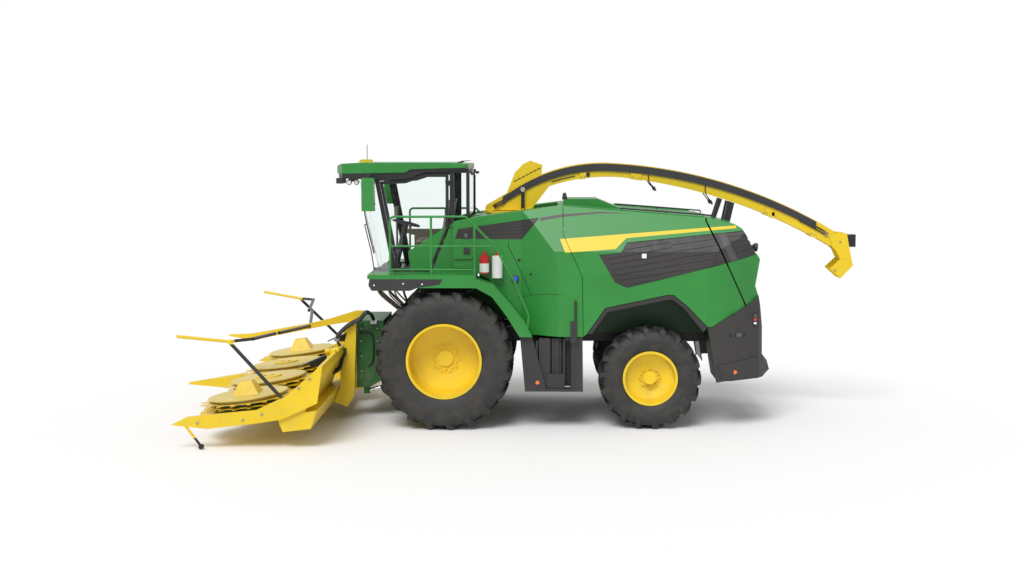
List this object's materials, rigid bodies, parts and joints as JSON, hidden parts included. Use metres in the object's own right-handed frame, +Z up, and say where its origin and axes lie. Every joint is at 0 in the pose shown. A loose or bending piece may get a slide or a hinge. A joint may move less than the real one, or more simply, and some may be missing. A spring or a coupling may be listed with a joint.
{
  "type": "forage harvester",
  "caption": "Self-propelled forage harvester with a rotary crop header, a glazed cab, a louvred engine hull and an arched, swinging discharge spout.",
  "frame": {"origin": "centre of the footprint on the ground", "axes": "+X to the rear, the machine faces -X; +Y to its right; +Z up"},
  "size_m": [10.4053, 6.1422, 4.1801],
  "materials": {
    "green_paint": "semi-gloss",
    "yellow_paint": "semi-gloss",
    "black_paint": "satin",
    "black_plastic": "matte",
    "worn_steel": "worn",
    "rod_chrome": "polished",
    "engine_iron": "satin",
    "tyre_rubber": "matte",
    "clear_glass": "clear",
    "seat_fabric": "woven",
    "red_paint": "gloss"
  },
  "bodies": {
    "chassis": {"chassis_frame": "black_paint", "front_axle": "black_paint", "rear_axle": "black_paint", "cutter_housing": "black_paint", "crop_tower": "black_paint", "engine_block": "engine_iron", "cab_frame": "black_paint", "cab_glass": "clear_glass", "cab_interior": "black_plastic", "seat_cushions": "seat_fabric", "cab_roof": "green_paint", "cab_equipment": "black_plastic", "top_deck": "green_paint", "front_side_panels": "green_paint", "rear_cowl": "green_paint", "hull_grilles": "black_plastic", "fenders": "green_paint", "side_skirts": "green_paint", "rear_bumper": "black_plastic", "railings": "black_paint", "fire_extinguishers": "red_paint"},
    "front_wheel_left": {"front_rim_left": "yellow_paint", "front_tyre_left": "tyre_rubber"},
    "front_wheel_right": {"front_rim_right": "yellow_paint", "front_tyre_right": "tyre_rubber"},
    "knuckle_left": {"knuckle_left": "black_paint"},
    "knuckle_right": {"knuckle_right": "black_paint"},
    "rear_wheel_left": {"rear_rim_left": "yellow_paint", "rear_tyre_left": "tyre_rubber"},
    "rear_wheel_right": {"rear_rim_right": "yellow_paint", "rear_tyre_right": "tyre_rubber"},
    "cab_door": {"cab_door": "black_paint", "cab_door_glass": "clear_glass"},
    "service_panel_left": {"service_panel_left": "green_paint", "service_grille_left": "black_plastic"},
    "service_panel_right": {"service_panel_right": "green_paint", "service_grille_right": "black_plastic"},
    "spout_turntable": {"spout_turntable": "yellow_paint"},
    "spout": {"spout_sides": "yellow_paint", "spout_top": "yellow_paint", "spout_hose_guards": "black_paint"},
    "spout_flap_inner": {"spout_flap_inner": "yellow_paint"},
    "spout_flap_outer": {"spout_flap_outer": "black_paint"},
    "spout_barrels": {"spout_cylinder_barrels": "black_paint"},
    "spout_rods": {"spout_cylinder_rods": "rod_chrome"},
    "feeder": {"feeder_housing": "green_paint", "header_centre_frame": "yellow_paint", "crop_boom": "yellow_paint"},
    "feed_roll_upper": {"feed_roll_upper": "worn_steel"},
    "feed_roll_lower": {"feed_roll_lower": "worn_steel"},
    "wing_left": {"header_wing_left": "yellow_paint", "push_bar_left": "black_paint"},
    "wing_right": {"header_wing_right": "yellow_paint", "push_bar_right": "black_paint"},
    "rotor_1": {"rotor_1": "worn_steel"},
    "rotor_2": {"rotor_2": "worn_steel"},
    "rotor_3": {"rotor_3": "worn_steel"},
    "rotor_4": {"rotor_4": "worn_steel"},
    "lift_barrels": {"lift_cylinder_barrels": "black_paint"},
    "lift_rods": {"lift_cylinder_rods": "rod_chrome"}
  },
  "joints": [
    {"name": "front_wheel_spin_left", "type": "hinge", "parent": "chassis", "child": "front_wheel_left", "pos_m": [-1.07, -1.295, 1.015], "axis": [0, 1, 0], "continuous": true},
    {"name": "front_wheel_spin_right", "type": "hinge", "parent": "chassis", "child": "front_wheel_right", "pos_m": [-1.07, 1.295, 1.015], "axis": [0, 1, 0], "continuous": true},
    {"name": "rear_steer_left", "type": "hinge", "parent": "chassis", "child": "knuckle_left", "pos_m": [1.95, -0.95, 0.755], "axis": [0, 0, 1], "range_deg": [-40, 40]},
    {"name": "rear_wheel_spin_left", "type": "hinge", "parent": "knuckle_left", "child": "rear_wheel_left", "pos_m": [1.95, -1.21, 0.755], "axis": [0, 1, 0], "continuous": true},
    {"name": "rear_steer_right", "type": "hinge", "parent": "chassis", "child": "knuckle_right", "pos_m": [1.95, 0.95, 0.755], "axis": [0, 0, 1], "range_deg": [-40, 40]},
    {"name": "rear_wheel_spin_right", "type": "hinge", "parent": "knuckle_right", "child": "rear_wheel_right", "pos_m": [1.95, 1.21, 0.755], "axis": [0, 1, 0], "continuous": true},
    {"name": "cab_door_hinge", "type": "hinge", "parent": "chassis", "child": "cab_door", "pos_m": [-1.023, -0.967, 3.3], "axis": [0, 0, 1], "range_deg": [0, 34]},
    {"name": "service_panel_hinge_left", "type": "hinge", "parent": "chassis", "child": "service_panel_left", "pos_m": [1.72, -1.088, 3.1895], "axis": [-0.9968, 0, 0.0796], "range_deg": [0, 70]},
    {"name": "service_panel_hinge_right", "type": "hinge", "parent": "chassis", "child": "service_panel_right", "pos_m": [1.72, 1.088, 3.1895], "axis": [0.9968, 0, -0.0796], "range_deg": [0, 70]},
    {"name": "spout_turn", "type": "hinge", "parent": "chassis", "child": "spout_turntable", "pos_m": [-0.172, 0, 3.125], "axis": [0, 0, 1], "range_deg": [-100, 100]},
    {"name": "spout_lift", "type": "hinge", "parent": "spout_turntable", "child": "spout", "pos_m": [-0.47, 0, 3.215], "axis": [0, -1, 0], "range_deg": [0, 22]},
    {"name": "spout_flap_inner_hinge", "type": "hinge", "parent": "spout", "child": "spout_flap_inner", "pos_m": [4.78, 0, 2.79], "axis": [0, -1, 0], "range_deg": [0, 60]},
    {"name": "spout_flap_outer_hinge", "type": "hinge", "parent": "spout_flap_inner", "child": "spout_flap_outer", "pos_m": [5.06, 0, 2.39], "axis": [0, -1, 0], "range_deg": [0, 50]},
    {"name": "spout_cylinder_hinge", "type": "hinge", "parent": "spout_turntable", "child": "spout_barrels", "pos_m": [0.06, 0, 3.189], "axis": [0, -1, 0], "range_deg": [-1, 18]},
    {"name": "spout_cylinder_slide", "type": "slide", "parent": "spout_barrels", "child": "spout_rods", "axis": [0, 0, 1], "range_m": [-0.005, 0.205]},
    {"name": "header_lift", "type": "hinge", "parent": "chassis", "child": "feeder", "pos_m": [-1.75, 0, 1.01], "axis": [0, 1, 0], "range_deg": [0, 22]},
    {"name": "lift_cylinder_hinge", "type": "hinge", "parent": "chassis", "child": "lift_barrels", "pos_m": [-1.33, 0, 0.64], "axis": [0, 1, 0], "range_deg": [-1, 16]},
    {"name": "lift_cylinder_slide", "type": "slide", "parent": "lift_barrels", "child": "lift_rods", "axis": [-0.9735, 0, -0.2288], "range_m": [-0.005, 0.165]},
    {"name": "feed_roll_upper_spin", "type": "hinge", "parent": "feeder", "child": "feed_roll_upper", "pos_m": [-2.32, 0, 0.985], "axis": [0, 1, 0], "continuous": true},
    {"name": "feed_roll_lower_spin", "type": "hinge", "parent": "feeder", "child": "feed_roll_lower", "pos_m": [-2.32, 0, 0.72], "axis": [0, 1, 0], "continuous": true},
    {"name": "wing_fold_left", "type": "hinge", "parent": "feeder", "child": "wing_left", "pos_m": [-3.84631, -1.5, 1.02606], "axis": [0.993, 0, 0.1184], "range_deg": [-105, 0]},
    {"name": "wing_fold_right", "type": "hinge", "parent": "feeder", "child": "wing_right", "pos_m": [-3.84631, 1.5, 1.02606], "axis": [-0.993, 0, -0.1184], "range_deg": [-105, 0]},
    {"name": "rotor_1_spin", "type": "hinge", "parent": "wing_left", "child": "rotor_1", "pos_m": [-3.78, -2.25, 0.47], "axis": [-0.1184, 0, 0.993], "continuous": true},
    {"name": "rotor_2_spin", "type": "hinge", "parent": "feeder", "child": "rotor_2", "pos_m": [-3.78, -0.75, 0.47], "axis": [-0.1184, 0, 0.993], "continuous": true},
    {"name": "rotor_3_spin", "type": "hinge", "parent": "feeder", "child": "rotor_3", "pos_m": [-3.78, 0.75, 0.47], "axis": [-0.1184, 0, 0.993], "continuous": true},
    {"name": "rotor_4_spin", "type": "hinge", "parent": "wing_right", "child": "rotor_4", "pos_m": [-3.78, 2.25, 0.47], "axis": [-0.1184, 0, 0.993], "continuous": true}
  ],
  "couplings": [
    {"joint": "rear_steer_right", "follows": "rear_steer_left", "ratio": 1},
    {"joint": "spout_cylinder_hinge", "follows": "spout_lift", "ratio": 0.7658},
    {"joint": "spout_cylinder_slide", "follows": "spout_lift", "m_per_rad": 0.52083},
    {"joint": "lift_cylinder_hinge", "follows": "header_lift", "ratio": 0.66229},
    {"joint": "lift_cylinder_slide", "follows": "header_lift", "m_per_rad": 0.41827}
  ]
}
